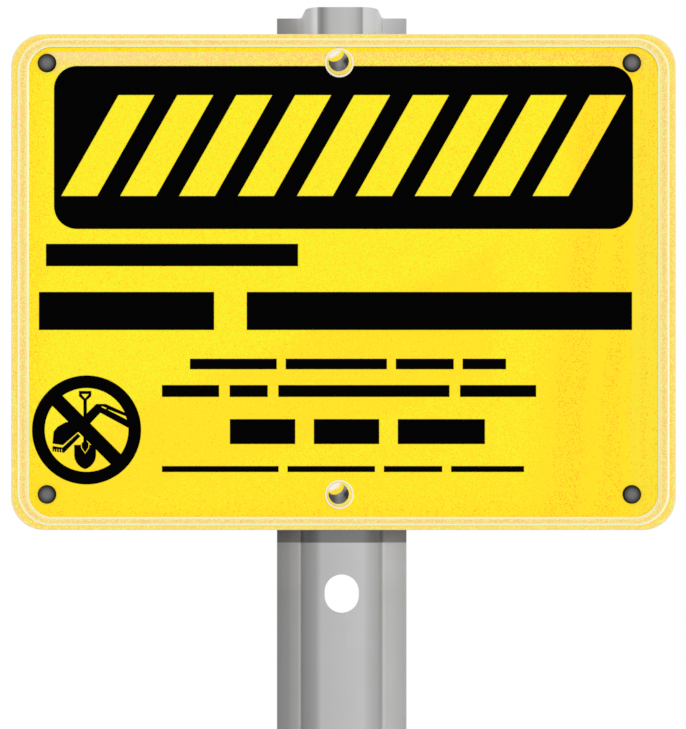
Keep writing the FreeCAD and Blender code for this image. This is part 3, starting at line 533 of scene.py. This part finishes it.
def thread_rings(z, start, end):
    """The rings of a threaded shank. A point's depth in the thread follows its angle and its place."""
    steps = round((end - start) / (THREAD_PITCH * MM) * THREAD_STEPS)
    rings = []
    for step in range(steps + 1):
        y = start + (end - start) * step / steps
        ring = []
        for number in range(AROUND):
            angle = 2 * math.pi * number / AROUND
            turn = (y / (THREAD_PITCH * MM) - number / AROUND) % 1
            depth = max(0.0, abs(turn - 0.5) * 2 - THREAD_CREST) / (1 - THREAD_CREST)
            to_end = min(1.0, (end - y) / (POINT_LENGTH * MM))
            cut = max(THREAD_DEPTH * depth, POINT_DEPTH * (1 - to_end))
            radius = (SHANK / 2 - cut) * MM
            ring.append((bolt_x + radius * math.cos(angle), y, z + radius * math.sin(angle)))
        rings.append(ring)
    return rings


def finished_piece(name, mesh, material):
    """Turns a bmesh into an object, smooth but for its sharp edges."""
    bmesh.ops.recalc_face_normals(mesh, faces=mesh.faces)
    for edge in mesh.edges:
        edge.smooth = len(edge.link_faces) == 2 and edge.calc_face_angle(0) < SMOOTH_BELOW
    for polygon in mesh.faces:
        polygon.smooth = True
    data = bpy.data.meshes.new(name)
    mesh.to_mesh(data)
    mesh.free()
    data.materials.append(material)
    piece = bpy.data.objects.new(name, data)
    bpy.context.collection.objects.link(piece)
    return piece


bolt_mesh = bmesh.new()
for row in bolt_rows:
    shell(bolt_mesh, head_rings(row))
    square = [
        (bolt_x + x * NECK_HALF * MM, row + z * NECK_HALF * MM)
        for x, z in ((-1, -1), (1, -1), (1, 1), (-1, 1))]
    shell(bolt_mesh, [[(x, y, z) for x, z in square] for y in (head_seat, neck_end)])
    shell(bolt_mesh, thread_rings(row, neck_end, bolts_high.y))

# The dome's colour is painted reflection: each place takes the tone of what it faces. These limits are
# parts of the surface's normal: sideways, between which the painted ground's tones run across it, upwards,
# where they give way to the pale far distance, and forwards, beyond which the steel is the dome.
GROUND_SIDES = (-0.6, 0.6)
SKYLINE = (0.15, 0.45)
DOME_FACING = -0.7
# The dome's slight ripple, and how far it shifts the painted reflections.
RIPPLE = 5.0
RIPPLE_SHARE = 0.035
# How metallic the plate looks, and its outermost ring, where the painted reflection of the sign's flecks
# hides the metal.
METAL = 0.7
OUTER_RING_METAL = 0.1
nickel, tree, shader = new_finish("bright_nickel_plate", Roughness=0.22)
coordinates = add(tree, "ShaderNodeTexCoord")
facing = coordinates.outputs["Normal"]
face_axis = add(tree, "ShaderNodeSeparateXYZ", {0: facing})
sideways = add(tree, "ShaderNodeMapRange", {
    "Value": face_axis.outputs["X"], "From Min": GROUND_SIDES[0], "From Max": GROUND_SIDES[1]})
# The painted reflection of the dark ground.
ground_reflection = add(tree, "ShaderNodeValToRGB", {0: sideways}, stops=[
    (0.05, "#484848"), (0.24, "#565656"), (0.4, "#7C7C7C"), (0.5, "#868686"), (0.62, "#767676"),
    (0.93, "#505050")])
skyward = add(tree, "ShaderNodeMapRange", {
    "Value": face_axis.outputs["Z"], "From Min": SKYLINE[0], "From Max": SKYLINE[1],
}, interpolation_type="SMOOTHSTEP")
dome_reflections = add(tree, "ShaderNodeMix", {
    0: skyward, 6: ground_reflection, 7: linear("#8A8A8A")}, data_type="RGBA").outputs[2]
flecks = add(tree, "ShaderNodeTexVoronoi", {
    "Vector": coordinates.outputs["Object"], "Scale": 1 / (FLECK * MM)})
lot = add(tree, "ShaderNodeSeparateColor", {0: flecks.outputs["Color"]})
# The painted reflection of the flecked sign.
sign_reflection = add(tree, "ShaderNodeValToRGB", {0: lot}, stops=[
    (0.0, "#FFE930"), (0.5, "#FFF084"), (0.8, "#FFD264")], interpolation="CONSTANT")
ripple = add(tree, "ShaderNodeTexNoise", {"Vector": facing, "Scale": RIPPLE, "Detail": 1.0})
ripple = add(tree, "ShaderNodeMath", {0: ripple, 1: 0.5}, operation="SUBTRACT")

# Then the painted reflections that stand out, each with the direction of its middle, and where its edge
# starts and where it is full, as the cosine of the angle from there. The painted sign fills the outermost
# ring, all that lies outside its angle. The sky's painted glint runs out to the rim.
PAINTED_REFLECTIONS = {
    "dark_side": ((0.47, -0.88, 0.02), 0.955, 0.986, linear("#2C2C2C")),
    "outer_ring": ((-0.045, -1.0, 0.061), 0.832, 0.818, sign_reflection),
    "yellow_side": ((-0.26, -0.83, 0.5), 0.868, 0.884, linear("#FBDD30")),
    "glint": ((-0.25, -0.75, 0.61), 0.925, 0.985, linear("#F7F3EE")),
    "glint_at_rim": ((-0.47, -0.745, 0.47), 0.945, 0.985, linear("#F8F3E6")),
}
shares = {}
for name, (direction, start, end, colour) in PAINTED_REFLECTIONS.items():
    nearness = add(tree, "ShaderNodeVectorMath", {
        0: facing, 1: Vector(direction).normalized()}, operation="DOT_PRODUCT")
    nearness = add(tree, "ShaderNodeMath", {
        0: ripple, 1: RIPPLE_SHARE, 2: nearness.outputs["Value"]}, operation="MULTIPLY_ADD")
    shares[name] = add(tree, "ShaderNodeMapRange", {"Value": nearness, "From Min": start, "From Max": end})
    dome_reflections = add(tree, "ShaderNodeMix", {0: shares[name], 6: dome_reflections, 7: colour}, data_type="RGBA").outputs[2]
on_dome = add(tree, "ShaderNodeMath", {
    0: face_axis.outputs["Y"], 1: DOME_FACING}, operation="LESS_THAN")
plated = add(tree, "ShaderNodeMix", {
    0: on_dome, 6: linear("#BDBDBB"), 7: dome_reflections}, data_type="RGBA").outputs[2]
tree.links.new(plated, shader.inputs["Base Color"])
outer_ring = add(tree, "ShaderNodeMath", {0: shares["outer_ring"], 1: on_dome}, operation="MULTIPLY")
metal = add(tree, "ShaderNodeMapRange", {"Value": outer_ring, "To Min": METAL, "To Max": OUTER_RING_METAL})
tree.links.new(metal.outputs[0], shader.inputs["Metallic"])
bolts = finished_piece("carriage_bolts", bolt_mesh, nickel)
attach(bolts, "root")
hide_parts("bolts")

# Face washers: turned from natural nylon, milky, with the sign's yellow that would show through it painted
# into its colour, and white at the rim. Each lies under a bolt's head and keeps the plastic from the steel.
# The milkiness is uneven, in specks too fine to show, which are drawn at this size.
NYLON_SPECK = 0.9
SPECK_SHARE = 0.06


def from_axis(tree, place, middle, half_x, half_z):
    """A point's distance from the nearest of four axes along Y, which lie round the middle."""
    offset = add(tree, "ShaderNodeVectorMath", {0: place, 1: middle}, operation="SUBTRACT")
    flat = add(tree, "ShaderNodeVectorMath", {0: offset, 1: (1, 0, 1)}, operation="MULTIPLY")
    folded = add(tree, "ShaderNodeVectorMath", {0: flat}, operation="ABSOLUTE")
    nearest = add(tree, "ShaderNodeVectorMath", {0: folded, 1: (half_x, 0, half_z)}, operation="SUBTRACT")
    return add(tree, "ShaderNodeVectorMath", {0: nearest}, operation="LENGTH").outputs["Value"]


washer_radius = (washer_high.x - washer_low.x) / 2
row_half = (bolt_rows[1] - bolt_rows[0]) / 2
bolts_middle = Vector((bolt_x, 0, sum(bolt_rows) / 2))
nylon, tree, shader = new_finish("milky_nylon", Roughness=0.4, IOR=1.53, Specular_IOR_Level=0.2)
place = add(tree, "ShaderNodeTexCoord").outputs["Object"]
share = add(tree, "ShaderNodeMath", {
    0: from_axis(tree, place, bolts_middle, 0.0, row_half), 1: washer_radius}, operation="DIVIDE")
speck = add(tree, "ShaderNodeTexNoise", {"Vector": place, "Scale": 1 / (NYLON_SPECK * MM), "Detail": 1.0})
share = add(tree, "ShaderNodeMath", {0: speck, 1: SPECK_SHARE, 2: share}, operation="MULTIPLY_ADD")
# The sign's yellow showing through is painted in, white towards the rim.
show_through_and_rim = add(tree, "ShaderNodeValToRGB", {0: share}, stops=[
    (0.88, "#FBDD5C"), (0.925, "#F9E8A0"), (0.95, "#F6F0DA"), (1.0, "#F6F2E6")])
tree.links.new(show_through_and_rim.outputs[0], shader.inputs["Base Color"])
give(nylon, "face_washer_upper", "face_washer_lower")

# Flat washers, split lock washers and hexagon nuts behind the web: pressed and cold formed steel with a
# pale blue-grey zinc plate, slightly dulled by weather in patches.
DULL_PATCH = 3.0
BRIGHT_ROUGHNESS = 0.24
DULL_ROUGHNESS = 0.46
zinc_plate, tree, shader = new_finish("zinc_plated_steel", Metallic=1.0)
place = add(tree, "ShaderNodeTexCoord").outputs["Object"]
dulling = add(tree, "ShaderNodeTexNoise", {"Vector": place, "Scale": 1 / (DULL_PATCH * MM), "Detail": 4.0})
plate = add(tree, "ShaderNodeValToRGB", {0: dulling}, stops=[(0.3, "#A9ACAF"), (0.7, "#C6C8C8")])
tree.links.new(plate.outputs[0], shader.inputs["Base Color"])
roughened = add(tree, "ShaderNodeMapRange", {
    "Value": dulling, "To Min": BRIGHT_ROUGHNESS, "To Max": DULL_ROUGHNESS})
tree.links.new(roughened.outputs[0], shader.inputs["Roughness"])
for row in ("upper", "lower"):
    give(zinc_plate, "flat_washer_" + row, "lock_washer_" + row, "nut_" + row)

# Hole plugs: push-in buttons of black polypropylene in the four corner holes. They carry painted shade,
# a lighter grey in their dished middles and black at their rims.
PLUG_RADIUS = 5.75
plugs_low, plugs_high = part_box("plugs")
plugs_middle = (plugs_low + plugs_high) / 2
plug_half = (plugs_high - plugs_low) / 2 - Vector((1, 0, 1)) * PLUG_RADIUS * MM
button, tree, shader = new_finish("black_polypropylene", Roughness=0.5, IOR=1.49, Specular_IOR_Level=0.12)
place = add(tree, "ShaderNodeTexCoord").outputs["Object"]
from_plug = from_axis(tree, place, plugs_middle, plug_half.x, plug_half.z)
share = add(tree, "ShaderNodeMath", {0: from_plug, 1: PLUG_RADIUS * MM}, operation="DIVIDE")
# Painted shade across each button, from the grey middle to the black rim.
shaded_button = add(tree, "ShaderNodeValToRGB", {0: share}, stops=[
    (0.0, "#707070"), (0.35, "#6A6A6A"), (0.6, "#525252"), (0.8, "#363636"), (0.87, "#0A0A0C"),
    (1.0, "#020206")])
tree.links.new(shaded_button.outputs[0], shader.inputs["Base Color"])
give(button, "plugs")

# Studio: a plain pale floor, an even white surround, and one soft light from afar in front, a little to
# the right and above. The surround is white to the eye and in reflections, and lights the object less.
# The floor is in metres, and the paper's fibres are drawn far coarser than they are.
FLOOR_HALF = 4.4
PAPER_FIBRE = 2.5
floor_mesh = bmesh.new()
bmesh.ops.create_grid(floor_mesh, x_segments=1, y_segments=1, size=FLOOR_HALF)
paper, tree, shader = new_finish("white_paper", Roughness=0.9, Specular_IOR_Level=0.1)
place = add(tree, "ShaderNodeTexCoord").outputs["Object"]
fibre = add(tree, "ShaderNodeTexNoise", {"Vector": place, "Scale": 1 / (PAPER_FIBRE * MM), "Detail": 2.0})
white = add(tree, "ShaderNodeValToRGB", {0: fibre}, stops=[(0.3, "#F2F2F1"), (0.7, "#F5F5F4")])
tree.links.new(white.outputs[0], shader.inputs["Base Color"])
finished_piece("floor", floor_mesh, paper)

SURROUND_LEVEL = 0.735
world = bpy.data.worlds.new("white_surround")
world.use_nodes = True
bpy.context.scene.world = world
tree = world.node_tree
surround = tree.nodes["Background"]
surround.inputs["Color"].default_value = (1, 1, 1, 1)
rays = add(tree, "ShaderNodeLightPath")
seen = rays.outputs["Is Camera Ray"]
for ray in ("Is Glossy Ray", "Is Transmission Ray"):
    seen = add(tree, "ShaderNodeMath", {0: seen, 1: rays.outputs[ray]}, operation="MAXIMUM")
level = add(tree, "ShaderNodeMapRange", {"Value": seen, "To Min": SURROUND_LEVEL, "To Max": 1.0})
tree.links.new(level.outputs[0], surround.inputs["Strength"])

KEY_LEVEL = 0.98
KEY_SPREAD = math.radians(18)
KEY_TURN = math.radians(13)
KEY_LIFT = math.radians(12)
key_data = bpy.data.lights.new("key", "SUN")
key_data.energy = KEY_LEVEL
key_data.angle = KEY_SPREAD
key = bpy.data.objects.new("key", key_data)
bpy.context.collection.objects.link(key)
towards_key = Vector((
    math.sin(KEY_TURN) * math.cos(KEY_LIFT), -math.cos(KEY_TURN) * math.cos(KEY_LIFT), math.sin(KEY_LIFT)))
key.rotation_euler = towards_key.to_track_quat("Z", "Y").to_euler()
key.visible_glossy = False

# Camera: level, square to the sign's face and a little below its middle, 1.03 m from it. The picture is
# 729 pixels high, and a pixel is 0.6111 mm on the sign, whose middle lies in row 282.
PICTURE_HEIGHT = 729
PIXEL = 0.6111
SIGN_ROW = 282.0
SIGN_COLUMN = 0.5
VIEW_DISTANCE = 1.03
SENSOR = 24.0
sign_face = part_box("header_field")[1].y
camera_data = bpy.data.cameras.new("camera")
camera_data.sensor_fit = "VERTICAL"
camera_data.sensor_height = SENSOR
camera_data.lens = SENSOR * VIEW_DISTANCE / (PICTURE_HEIGHT * PIXEL * MM)
camera = bpy.data.objects.new("camera", camera_data)
bpy.context.collection.objects.link(camera)
camera.location = (
    sign_middle.x - SIGN_COLUMN * PIXEL * MM,
    sign_face - VIEW_DISTANCE,
    sign_middle.z - (PICTURE_HEIGHT / 2 - SIGN_ROW) * PIXEL * MM,
)
camera.rotation_euler = (math.pi / 2, 0, 0)
bpy.context.scene.camera = camera
bpy.context.scene.view_settings.view_transform = "Standard"
